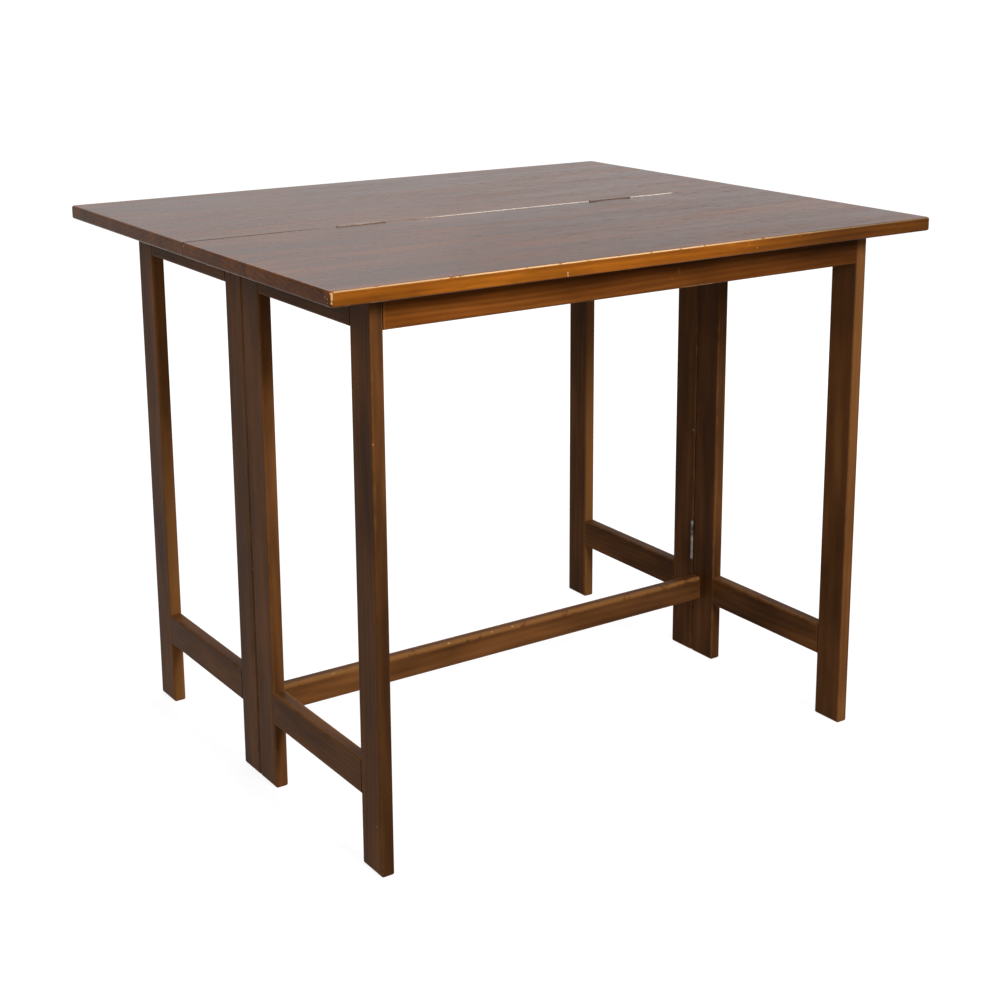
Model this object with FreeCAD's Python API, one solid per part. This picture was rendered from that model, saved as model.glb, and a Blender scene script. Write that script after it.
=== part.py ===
import FreeCAD, Part
import os
from functools import partial

# Flip-top gateleg table in 18 mm boards, opened out and standing on the floor.
# Millimetres. +X runs along the seam to the right, +Y to the back, +Z up.
# The origin is on the floor under the middle of the opened top, and the seam is at Y = 0.

# Sizes of the top
table_height = 762.0
top_width = 950.0  # along the seam
leaf_depth = 399.5  # each leaf, from the seam to its outer edge
top_thickness = 19.0
seam_gap = 1.0
leaf_corner_radius = 6.0
leaf_arris_radius = 3.0

# Sizes of the boards in the frame and the gates
board_thickness = 18.0
leg_width = 50.0
side_rail_height = 47.0
apron_height = 45.0
stretcher_height = 38.0
board_edge_radius = 3.0

# Places of the frame and the gates under the top
end_overhang = 75.0  # from the ends of the top to the outer faces of the legs
front_overhang = 48.0
division_setback = 10.0  # from the seam forward to the line where the gates meet the frame
leg_gap = 1.0  # between a middle leg and its gate
gate_depth = 345.0
lower_rail_height = 95.0  # from the floor to the lower rails and the stretcher
gate_top_clearance = 0.5  # between a gate and the leaf that it carries

# Dowels that join the rails to the legs
dowel_radius = 4.0
dowel_spacing = 20.0
dowel_rail_depth = 25.0
dowel_edge_depth = 22.0  # into the narrow edge of a leg
dowel_face_depth = 11.0  # into the wide face of a leg
dowel_end_relief = 1.0
dowel_chamfer = 0.8

# Cleats that hold the front leaf down on the side rails
cleat_section = 18.0
cleat_end_gap = 10.0
cleat_screw_margin = 30.0
cleat_screw_stagger = 25.0
cleat_screw_bite = 12.0
cleat_screw_shank_radius = 2.0
cleat_screw_head_radius = 4.0

# Butt hinges of the gates, let into the facing edges of the leg pairs
gate_hinge_length = 65.0
gate_hinge_plate_width = 15.0  # from the pin's axis
gate_hinge_plate_thickness = 1.5
gate_hinge_knuckle_radius = 2.5
gate_hinge_pin_radius = 1.25
gate_hinge_axis_offset = 2.0  # how far the pin stands inside the legs' inner faces
gate_hinge_rail_clearance = 18.0

# Butt hinges of the top, let into the facing edges of the two leaves
leaf_hinge_length = 75.0
leaf_hinge_plate_width = 14.0  # from the pin's axis
leaf_hinge_plate_thickness = 0.9
leaf_hinge_knuckle_radius = 1.4
leaf_hinge_pin_radius = 0.7
leaf_hinge_axis_offset = 0.25  # how far the pin stands above the top
leaf_hinge_from_middle = 213.0

# Sizes that both kinds of hinge share
knuckle_count = 3
knuckle_gap = 0.3
hinge_screw_length = 16.0
hinge_screw_shank_radius = 1.3
hinge_screw_head_radius = 2.6
hinge_screw_margin = 9.0
pin_head_height = 0.8
pin_head_overlap = 0.6

# Driver slots in the screw heads
slot_width = 0.7
slot_depth = 0.6

# Fits
fit_clearance = 0.05  # pins, screws and dowels in their holes, on the radius
mortise_clearance = 0.2
swing_clearance = 0.3  # round the knuckles

# Axes, sides and the tolerance for finding edges
X_AXIS = FreeCAD.Vector(1, 0, 0)
Y_AXIS = FreeCAD.Vector(0, 1, 0)
Z_AXIS = FreeCAD.Vector(0, 0, 1)
SIDES = (("left", -1), ("right", 1))
CLOSE_ENOUGH = 1e-6

# Planes that the pieces share
half_width = top_width / 2
leaf_edge_y = seam_gap / 2 + leaf_depth
under_top = table_height - top_thickness
gate_top = under_top - gate_top_clearance
outer_x = half_width - end_overhang
inner_x = outer_x - board_thickness
leg_middle_x = outer_x - board_thickness / 2
frame_front_y = front_overhang - leaf_edge_y
frame_back_y = -division_setback - leg_gap / 2
gate_front_y = -division_setback + leg_gap / 2
gate_back_y = gate_front_y + gate_depth
lower_rail_top = lower_rail_height + side_rail_height
gate_top_rail_bottom = gate_top - side_rail_height

pieces = {}
cuts = {}


def add(name, shape):
    """Keep a finished piece, or a group of like pieces, under its name."""
    pieces[name] = shape


def cut_from(name, tool):
    """Note a hole, mortise or notch to take out of a piece."""
    cuts.setdefault(name, []).append(tool)


def limits(sign, near, far):
    """The span between two distances from the middle, on the side that sign gives."""
    return tuple(sorted((sign * near, sign * far)))


def box(x, y, z):
    """A plain block between its limits on the three axes."""
    corner = FreeCAD.Vector(x[0], y[0], z[0])
    return Part.makeBox(x[1] - x[0], y[1] - y[0], z[1] - z[0], corner)


def edges_along(shape, axis):
    """The straight edges of a shape that run along an axis."""
    return [edge for edge in shape.Edges
            if isinstance(edge.Curve, Part.Line) and edge.Curve.Direction.cross(axis).Length < CLOSE_ENOUGH]


def edges_at_height(shape, height):
    """The edges of a shape that lie flat at one height."""
    return [edge for edge in shape.Edges
            if max(abs(edge.BoundBox.ZMin - height), abs(edge.BoundBox.ZMax - height)) < CLOSE_ENOUGH]


def board(x, y, z, axis):
    """A block whose four long edges, along the axis, are eased."""
    body = box(x, y, z)
    return body.makeFillet(board_edge_radius, edges_along(body, axis))


def leg(sign, y, top):
    """An upright board on one side, with its foot eased as well."""
    body = box(limits(sign, inner_x, outer_x), y, (0, top))
    return body.makeFillet(board_edge_radius, edges_along(body, Z_AXIS) + edges_at_height(body, 0))


def leaf(sign):
    """One half of the top: sign -1 is the fixed front leaf and +1 the leaf that flips over."""
    body = box((-half_width, half_width), limits(sign, seam_gap / 2, leaf_edge_y), (under_top, table_height))
    corners = [edge for edge in edges_along(body, Z_AXIS)
               if abs(edge.CenterOfMass.y - sign * leaf_edge_y) < CLOSE_ENOUGH]
    body = body.makeFillet(leaf_corner_radius, corners)
    seam_y = sign * seam_gap / 2
    rims = [edge for height in (under_top, table_height) for edge in edges_at_height(body, height)
            if abs(edge.CenterOfMass.y - seam_y) > CLOSE_ENOUGH]
    return body.makeFillet(leaf_arris_radius, rims)


def turned(profile):
    """A solid turned about Z from its half outline of (radius, height) points."""
    corners = [FreeCAD.Vector(radius, 0, height) for radius, height in profile]
    face = Part.Face(Part.makePolygon(corners + corners[:1]))
    return face.revolve(FreeCAD.Vector(0, 0, 0), Z_AXIS, 360)


def moved(shape, place, rotation):
    """A copy of the shape, turned and then moved to a place."""
    copy = shape.copy()
    copy.Placement = FreeCAD.Placement(place, rotation).multiply(copy.Placement)
    return copy


def facing(shape, direction, place):
    """The shape with its +Z turned to a direction and its origin moved to a place."""
    return moved(shape, place, FreeCAD.Rotation(Z_AXIS, direction))


def screw_outline(length, shank_radius, head_radius, clearance):
    """Half outline of a countersunk screw that points along +Z, with its head's face at Z = 0."""
    shank = shank_radius + clearance
    head = head_radius + clearance
    tip = length - 2 * shank_radius
    return [(0, 0), (head, 0), (shank, head - shank), (shank, tip + clearance), (0, length + clearance)]


def screw(length, shank_radius, head_radius):
    """A countersunk wood screw with a straight driver slot."""
    body = turned(screw_outline(length, shank_radius, head_radius, 0))
    slot = box((-head_radius, head_radius), (-slot_width / 2, slot_width / 2), (0, slot_depth))
    return body.cut(slot)


def screw_hole(length, shank_radius, head_radius):
    """The room that such a screw takes in the pieces it holds."""
    return turned(screw_outline(length, shank_radius, head_radius, fit_clearance))


def dowel_joint(rail, leg_name, seat, direction, leg_depth):
    """Two dowels across the joint of a rail and a leg: the direction points from the leg into the rail."""
    dowels = []
    for sign in (-1, 1):
        place = seat + Z_AXIS * (sign * dowel_spacing / 2)
        back = place - direction * leg_depth
        length = leg_depth + dowel_rail_depth
        pin = Part.makeCylinder(dowel_radius, length, back, direction)
        ends = [edge for edge in pin.Edges if isinstance(edge.Curve, Part.Circle)]
        dowels.append(pin.makeChamfer(dowel_chamfer, ends))
        hole_start = back - direction * dowel_end_relief
        hole_length = length + 2 * dowel_end_relief
        hole = Part.makeCylinder(dowel_radius + fit_clearance, hole_length, hole_start, direction)
        cut_from(rail, hole)
        cut_from(leg_name, hole)
    return dowels


def add_leaves():
    """The two halves of the top."""
    add("front_leaf", leaf(-1))
    add("rear_leaf", leaf(1))


def add_ladder(sign, legs, rails, y, top):
    """Two legs on one side, with a top and a lower rail between them. Returns the dowels of their joints."""
    front_leg, back_leg = legs
    rail_y = (y[0] + leg_width, y[1] - leg_width)
    add(front_leg, leg(sign, (y[0], rail_y[0]), top))
    add(back_leg, leg(sign, (rail_y[1], y[1]), top))
    dowels = []
    heights = ((top - side_rail_height, top), (lower_rail_height, lower_rail_top))
    for rail, z in zip(rails, heights):
        add(rail, board(limits(sign, inner_x, outer_x), rail_y, z, Y_AXIS))
        front_seat = FreeCAD.Vector(sign * leg_middle_x, rail_y[0], sum(z) / 2)
        back_seat = FreeCAD.Vector(sign * leg_middle_x, rail_y[1], sum(z) / 2)
        dowels += dowel_joint(rail, front_leg, front_seat, Y_AXIS, dowel_edge_depth)
        dowels += dowel_joint(rail, back_leg, back_seat, -Y_AXIS, dowel_edge_depth)
    return dowels


def add_side_frame(side, sign):
    """One side of the fixed frame. Returns its dowels."""
    legs = (f"front_leg_{side}", f"middle_leg_{side}")
    rails = (f"side_top_rail_{side}", f"side_lower_rail_{side}")
    return add_ladder(sign, legs, rails, (frame_front_y, frame_back_y), under_top)


def add_gate(side, sign):
    """One gate, which stands just clear of the leaf that it carries, with its own dowels."""
    legs = (f"gate_hinge_leg_{side}", f"gate_rear_leg_{side}")
    rails = (f"gate_top_rail_{side}", f"gate_lower_rail_{side}")
    dowels = add_ladder(sign, legs, rails, (gate_front_y, gate_back_y), gate_top)
    add(f"gate_dowels_{side}", Part.makeCompound(dowels))


def add_cross_boards():
    """The boards that join the two side frames. Returns their dowels."""
    x = (-inner_x, inner_x)
    front_y = (frame_front_y, frame_front_y + board_thickness)
    back_y = (frame_back_y - board_thickness, frame_back_y)
    apron_z = (under_top - apron_height, under_top)
    stretcher_z = (lower_rail_height, lower_rail_height + stretcher_height)
    dowels = []
    for name, legs, y, z in (("front_apron", "front_leg", front_y, apron_z),
                             ("rear_apron", "middle_leg", back_y, apron_z),
                             ("lower_stretcher", "middle_leg", back_y, stretcher_z)):
        add(name, board(x, y, z, X_AXIS))
        for side, sign in SIDES:
            seat = FreeCAD.Vector(sign * inner_x, sum(y) / 2, sum(z) / 2)
            dowels += dowel_joint(name, f"{legs}_{side}", seat, X_AXIS * -sign, dowel_face_depth)
    return dowels


def add_cleat(side, sign):
    """A cleat inside a side top rail, under the front leaf. Returns its screws."""
    cleat = f"top_cleat_{side}"
    y_start = frame_front_y + leg_width + cleat_end_gap
    y_end = frame_back_y - leg_width - cleat_end_gap
    cleat_x = inner_x - cleat_section
    middle_x = sign * (inner_x - cleat_section / 2)
    middle_z = under_top - cleat_section / 2
    z = (under_top - cleat_section, under_top)
    add(cleat, board(limits(sign, cleat_x, inner_x), (y_start, y_end), z, Y_AXIS))
    length = cleat_section + cleat_screw_bite
    sizes = (length, cleat_screw_shank_radius, cleat_screw_head_radius)
    screws = []
    for y_cleat_end, inward in ((y_start, 1), (y_end, -1)):
        y_rail = y_cleat_end + inward * cleat_screw_margin
        y_leaf = y_rail + inward * cleat_screw_stagger
        into_rail = FreeCAD.Vector(sign * cleat_x, y_rail, middle_z)
        into_leaf = FreeCAD.Vector(middle_x, y_leaf, z[0])
        for held, place, direction in ((f"side_top_rail_{side}", into_rail, X_AXIS * sign),
                                       ("front_leaf", into_leaf, Z_AXIS)):
            screws.append(facing(screw(*sizes), direction, place))
            hole = facing(screw_hole(*sizes), direction, place)
            cut_from(cleat, hole)
            cut_from(held, hole)
    return screws


class ButtHinge:
    """A butt hinge about local Z: plates reach to -X, the fixed one at -Y and the moving one at +Y."""

    def __init__(self, length, plate_width, plate_thickness, knuckle_radius, pin_radius, gap):
        self.length = length
        self.plate_width = plate_width
        self.plate_thickness = plate_thickness
        self.knuckle_radius = knuckle_radius
        self.pin_radius = pin_radius
        self.gap = gap
        self.pitch = length / knuckle_count

    def round_bar(self, radius, start, end):
        """A bar on the pin's axis between two heights."""
        return Part.makeCylinder(radius, end - start, Z_AXIS * start)

    def plate_limits(self, sign):
        """The span of a plate's thickness across the gap, on the side that sign gives."""
        return limits(sign, self.gap / 2, self.gap / 2 + self.plate_thickness)

    def screw_places(self, sign):
        """Where the screw heads lie on the face of a plate."""
        x = -(self.plate_width + self.knuckle_radius) / 2
        reach = self.length / 2 - hinge_screw_margin
        return [FreeCAD.Vector(x, sign * self.gap / 2, z) for z in (-reach, 0, reach)]

    def screws(self, sign):
        """The screws of one plate."""
        shape = screw(hinge_screw_length, hinge_screw_shank_radius, hinge_screw_head_radius)
        return [facing(shape, Y_AXIS * sign, place) for place in self.screw_places(sign)]

    def screw_holes(self, sign):
        """The holes for those screws."""
        shape = screw_hole(hinge_screw_length, hinge_screw_shank_radius, hinge_screw_head_radius)
        return [facing(shape, Y_AXIS * sign, place) for place in self.screw_places(sign)]

    def plate(self, sign):
        """A plate with its own knuckles: the fixed plate has the first, and they take turns."""
        half = self.length / 2
        across = self.plate_limits(sign)
        body = box((-self.plate_width, -self.knuckle_radius), across, (-half, half))
        first = 0 if sign < 0 else 1
        for index in range(knuckle_count):
            start = index * self.pitch - half
            end = start + self.pitch
            if index % 2 == first:
                span = (start + knuckle_gap / 2, end - knuckle_gap / 2)
                web = box((-self.knuckle_radius, 0), across, span)
                body = body.fuse(web).fuse(self.round_bar(self.knuckle_radius, *span))
            else:
                room = (start - knuckle_gap / 2, end + knuckle_gap / 2)
                body = body.cut(self.round_bar(self.knuckle_radius + swing_clearance, *room))
        body = body.cut(self.round_bar(self.pin_radius + fit_clearance, -half, half))
        return body.cut(Part.makeCompound(self.screw_holes(sign))).removeSplitter()

    def pin(self):
        """The pin, with a peened head at each end that holds it in the knuckles."""
        seat = self.length / 2 - knuckle_gap / 2
        head_radius = self.pin_radius + pin_head_overlap
        outline = [(0, -seat - pin_head_height), (head_radius, -seat - pin_head_height), (head_radius, -seat),
                   (self.pin_radius, -seat), (self.pin_radius, seat), (head_radius, seat),
                   (head_radius, seat + pin_head_height), (0, seat + pin_head_height)]
        return turned(outline)

    def mortise(self, sign):
        """What the hinge takes out of the wood on one side of the gap."""
        half = self.length / 2 + mortise_clearance
        across = limits(sign, 0, self.gap / 2 + self.plate_thickness)
        bed = box((-self.plate_width - mortise_clearance, 0), across, (-half, half))
        notch_half = self.length / 2 + pin_head_height + swing_clearance
        notch = self.round_bar(self.knuckle_radius + swing_clearance, -notch_half, notch_half)
        return Part.makeCompound([bed, notch] + self.screw_holes(sign))


def add_hinge(hinge, label, place, wood):
    """Set a hinge in place and let it into its two boards. Returns its fixed and its moving screws."""
    add(f"{label}_fixed_plate", place(hinge.plate(-1)))
    add(f"{label}_moving_plate", place(hinge.plate(1)))
    add(f"{label}_pin", place(hinge.pin()))
    for sign, board_name in zip((-1, 1), wood):
        for tool in hinge.mortise(sign).Solids:
            cut_from(board_name, place(tool))
    return [place(shape) for shape in hinge.screws(-1)], [place(shape) for shape in hinge.screws(1)]


def stood_up(shape, sign, axis_point):
    """A piece of an upright hinge at its place: on the right-hand side its plates reach the other way."""
    if sign > 0:
        shape = shape.mirror(FreeCAD.Vector(0, 0, 0), X_AXIS)
    return shape.translated(axis_point)


def add_gate_hinges():
    """Two upright butt hinges between each middle leg and its gate."""
    hinge = ButtHinge(gate_hinge_length, gate_hinge_plate_width, gate_hinge_plate_thickness,
                      gate_hinge_knuckle_radius, gate_hinge_pin_radius, leg_gap)
    reach = gate_hinge_rail_clearance + gate_hinge_length / 2
    heights = {"lower": lower_rail_top + reach, "upper": gate_top_rail_bottom - reach}
    frame_screws = []
    for side, sign in SIDES:
        axis_x = sign * (inner_x - gate_hinge_axis_offset)
        wood = (f"middle_leg_{side}", f"gate_hinge_leg_{side}")
        gate_screws = []
        for level, height in heights.items():
            axis_point = FreeCAD.Vector(axis_x, -division_setback, height)
            place = partial(stood_up, sign=sign, axis_point=axis_point)
            fixed, moving = add_hinge(hinge, f"gate_hinge_{side}_{level}", place, wood)
            frame_screws += fixed
            gate_screws += moving
        add(f"gate_hinge_screws_{side}", Part.makeCompound(gate_screws))
    add("frame_hinge_screws", Part.makeCompound(frame_screws))


def add_leaf_hinges():
    """Two butt hinges in the seam, with their pins along the upper arris so that the leaf folds flat over."""
    hinge = ButtHinge(leaf_hinge_length, leaf_hinge_plate_width, leaf_hinge_plate_thickness,
                      leaf_hinge_knuckle_radius, leaf_hinge_pin_radius, seam_gap)
    lay_down = FreeCAD.Rotation(Y_AXIS, -90)
    axis_z = table_height + leaf_hinge_axis_offset
    front_screws = []
    rear_screws = []
    for side, sign in SIDES:
        axis_point = FreeCAD.Vector(sign * leaf_hinge_from_middle, 0, axis_z)
        place = partial(moved, place=axis_point, rotation=lay_down)
        fixed, moving = add_hinge(hinge, f"leaf_hinge_{side}", place, ("front_leaf", "rear_leaf"))
        front_screws += fixed
        rear_screws += moving
    add("front_leaf_hinge_screws", Part.makeCompound(front_screws))
    add("rear_leaf_hinge_screws", Part.makeCompound(rear_screws))


def export():
    """Take the holes out of each piece and write it to its own file."""
    os.makedirs("parts", exist_ok=True)
    for name, shape in pieces.items():
        for tool in cuts.get(name, []):
            shape = shape.cut(tool)
        if not shape.isValid():
            raise ValueError(f"{name} is not a valid solid")
        shape.exportStep(f"parts/{name}.step")
        print(f"{name}: {len(shape.Solids)} solid(s), {shape.Volume / 1000:.2f} cm3")


def main():
    """Build the table piece by piece."""
    add_leaves()
    dowels = []
    cleat_screws = []
    for side, sign in SIDES:
        dowels += add_side_frame(side, sign)
        cleat_screws += add_cleat(side, sign)
        add_gate(side, sign)
    dowels += add_cross_boards()
    add("frame_dowels", Part.makeCompound(dowels))
    add("cleat_screws", Part.makeCompound(cleat_screws))
    add_gate_hinges()
    add_leaf_hinges()
    export()


main()
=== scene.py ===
"""A flip-top gateleg table in stained wood, dressed around its solids for a studio picture."""
import logging
import math
from collections.abc import Callable, Iterator
from dataclasses import dataclass, replace
from enum import Enum
from functools import partial

import bmesh
import bpy
from bpy.types import ID, Material, Mesh, Node, NodeSocket, NodeTree, Object, World
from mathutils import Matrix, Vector


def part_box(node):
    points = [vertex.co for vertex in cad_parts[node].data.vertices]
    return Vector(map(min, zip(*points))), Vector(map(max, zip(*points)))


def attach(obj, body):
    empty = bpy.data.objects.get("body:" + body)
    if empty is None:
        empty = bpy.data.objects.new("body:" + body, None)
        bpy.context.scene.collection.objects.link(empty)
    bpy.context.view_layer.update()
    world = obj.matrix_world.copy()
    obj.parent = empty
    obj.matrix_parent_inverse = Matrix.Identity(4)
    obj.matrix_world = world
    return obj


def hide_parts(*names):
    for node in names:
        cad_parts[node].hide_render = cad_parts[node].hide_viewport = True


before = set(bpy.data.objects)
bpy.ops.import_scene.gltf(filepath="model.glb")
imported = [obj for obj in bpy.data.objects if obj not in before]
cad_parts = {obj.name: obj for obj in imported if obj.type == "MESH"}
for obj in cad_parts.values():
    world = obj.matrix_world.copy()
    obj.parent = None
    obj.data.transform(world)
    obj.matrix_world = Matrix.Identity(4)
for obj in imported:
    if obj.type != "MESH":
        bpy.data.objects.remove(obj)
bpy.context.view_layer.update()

log = logging.getLogger("table")

MM = 0.001
JOIN_DISTANCE = 0.001 * MM
WHITE = (1.0, 1.0, 1.0, 1.0)
BLACK = (0.0, 0.0, 0.0, 1.0)

Point = tuple[float, float, float]
Span = tuple[float, float]
NodeInputs = dict[str | int, object]
NodeAdder = Callable[..., Node]
Factor = Node | float

# How far apart in the tree boards are cut, and staves at most: along the fibres, then across them
BOARD_STEP_MM = (431.0, 13.0, 7.0)
STAVE_STEP_MM = (900.0, 70.0, 30.0)

# How far from the heart of the tree the cuts begin
HEART_GAP_MM = 40.0

# By how many staves a board's row is shifted for each step of its seed
STAVE_SHIFT = 7.3

# The scale at which a wave node repeats once in each unit of length
WAVE_SCALE = math.pi / 10

# Where in the wander pattern a strip with no cover begins, how much earlier for a unit of cover,
# and how soon it has its full width
NO_COVER = 0.68
COVER_STEP = 0.5
COVER_RAMP = 0.2

# A cover that leaves no gaps in a strip
UNBROKEN = 1.5

# A strip this wide covers the narrow face of a leg
LEG_FACE_MM = 19.0


def linear(hex_colour: str) -> tuple[float, float, float, float]:
    """Turn an sRGB hex value into a linear colour.

    Args:
        hex_colour: Six hex digits after a hash sign.

    Returns:
        Linear red, green and blue, with an alpha of 1.
    """
    channels = [int(hex_colour[start:start + 2], 16) / 255 for start in (1, 3, 5)]
    red, green, blue = (
        c / 12.92 if c <= 0.04045 else ((c + 0.055) / 1.055) ** 2.4 for c in channels)
    return red, green, blue, 1.0


def add_node(tree: NodeTree, kind: str, inputs: NodeInputs | None = None,
             **settings: object) -> Node:
    """Add a node to a tree, with its settings and links.

    Args:
        tree: The tree that gets the node.
        kind: The node's type name.
        inputs: For each input, by name or index, a value, an output socket or a node, whose first
            output in use is then linked.
        settings: The node's own properties.

    Returns:
        The new node.
    """
    node = tree.nodes.new(kind)
    for name, value in settings.items():
        setattr(node, name, value)
    for key, value in (inputs or {}).items():
        named = [socket for socket in node.inputs if socket.enabled and socket.name == key]
        socket = named[0] if named else node.inputs[key]
        if isinstance(value, Node):
            value = next(output for output in value.outputs if output.enabled)
        if isinstance(value, NodeSocket):
            tree.links.new(value, socket)
        else:
            socket.default_value = value
    return node


def node_adder(block: Material | World) -> NodeAdder:
    """Turn on a block's nodes and clear its tree.

    Args:
        block: A new material or world.

    Returns:
        The function that adds a node to the tree.
    """
    block.use_nodes = True
    block.node_tree.nodes.clear()
    return partial(add_node, block.node_tree)


def new_object(name: str, data: ID) -> Object:
    """Make an object and link it to the scene.

    Args:
        name: The object's name.
        data: Its mesh, light or camera.

    Returns:
        The new object.
    """
    made = bpy.data.objects.new(name, data)
    bpy.context.scene.collection.objects.link(made)
    return made


class Side(Enum):
    """The two ends of the table, as seen from its front."""

    LEFT = "left"
    RIGHT = "right"


class Grain(Enum):
    """The axis along which a board's fibres run."""

    ALONG_X = 0
    ALONG_Y = 1
    ALONG_Z = 2


class Wear(Enum):
    """Marks laid over the stain: stain rubbed thin by use, also used as painted light on leg faces;
    bare wood; painted shade; and a painted glint.
    """

    RUBBED = "rubbed"
    BARE = "bare"
    GRIMED = "grimed"
    DUSTY = "dusty"


@dataclass(frozen=True)
class WornArris:
    """A worn strip along an edge of a board, or a strip of painted light, of painted shade or of a
    painted glint laid the same way.

    The sides give the edge's place on the board's box: -1 is the low side, 1 the high side and 0
    the axis along which the edge runs. The span is the stretch of that axis that is worn, and the
    wear fades towards its ends. The more cover, the fewer gaps the strip has.
    """

    sides: tuple[int, int, int]
    width_mm: float
    cover: float
    span_mm: Span = (-1000.0, 1000.0)
    fade_mm: float = 12.0
    soft_mm: float = 0.5
    strength: float = 1.0
    wear: Wear = Wear.BARE


# A strip over the narrow front face of a leg, used for painted light and for painted shade
painted_leg_front = partial(WornArris, (1, -1, 0), LEG_FACE_MM, UNBROKEN, soft_mm=2.0)


@dataclass(frozen=True)
class Nick:
    """A small chip that goes down to bare wood."""

    place_mm: Point
    radius_mm: float


@dataclass(frozen=True)
class Board:
    """One wooden piece: its CAD node, fibres, wear, painted light and shade, and how light its
    stain is.
    """

    node: str
    grain: Grain
    seed: int
    worn: tuple[WornArris, ...] = ()
    nicks: tuple[Nick, ...] = ()
    tone: float = 1.0


@dataclass(frozen=True)
class StainedWood:
    """Planed hardwood under stain and lacquer: its colours, figure, wear with painted light and
    shade, and sheen.

    A span with no unit is a range of a noise, most of which lies in noise_span, or of how squarely
    a face is turned to an axis.
    """

    name: str
    dark: str
    mid: str
    light: str
    # Stain rubbed thin, a colour also laid as painted light on the front faces of some legs
    rubbed: str
    bare: str
    # The dark brown laid as painted shade: a seam gap's shadow and the shade where lamp light falls
    # off
    grimed: str = "#21140C"
    # The pale grey laid as a painted glint along an arris
    dusty: str = "#DCD2C8"
    face_tint: str = "#FFFFFF"
    end_grain_tint: str = "#E1E1E1"
    facing_span: Span = (0.5, 0.95)
    noise_span: Span = (0.3, 0.7)
    stave_mm: float = 0.0
    stave_spread: float = 0.2
    swirl_mm: Point = (620.0, 150.0, 150.0)
    swirl_reach_mm: float = 30.0
    band_mm: float = 16.0
    band_length_mm: float = 520.0
    streak_mm: float = 3.4
    streak_length_mm: float = 110.0
    growth_ring_mm: float = 7.0
    ring_stretch: float = 60.0
    ring_distortion: float = 2.5
    figure_shares: tuple[float, float, float] = (0.55, 0.3, 0.15)
    figure_span: Span = (0.32, 0.68)
    # Real pores are too fine to show in the render, so these are drawn coarser
    pore_mm: float = 1.4
    pore_length_mm: float = 26.0
    pore_span: Span = (0.56, 0.72)
    pore_depth: float = 0.35
    blotch_mm: float = 42.0
    blotch_stretch: float = 4.0
    blotch_spread: float = 0.24
    wander_mm: float = 18.0
    edge_rub: float = 0.5
    rub_wander_mm: float = 5.0
    rub_span_mm: Span = (2.0, 5.5)
    strike_mm: float = 7.0
    strike_span: Span = (0.72, 0.78)
    strike_span_mm: Span = (0.8, 1.8)
    nick_edge: float = 1.5
    relief: float = 0.12
    relief_mm: float = 0.25
    roughness: Span = (0.28, 0.4)
    pore_dulling: float = 0.5
    bare_dulling: float = 0.3
    # Roughness added under the painted shade
    shade_dulling: float = 0.4
    # Roughness added under the painted glint
    glint_dulling: float = 0.5
    specular_level: float = 0.018

    def material(self, board: Board) -> Material:
        """Make the finish for one board."""
        return WoodShader(self, board).build()


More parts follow.
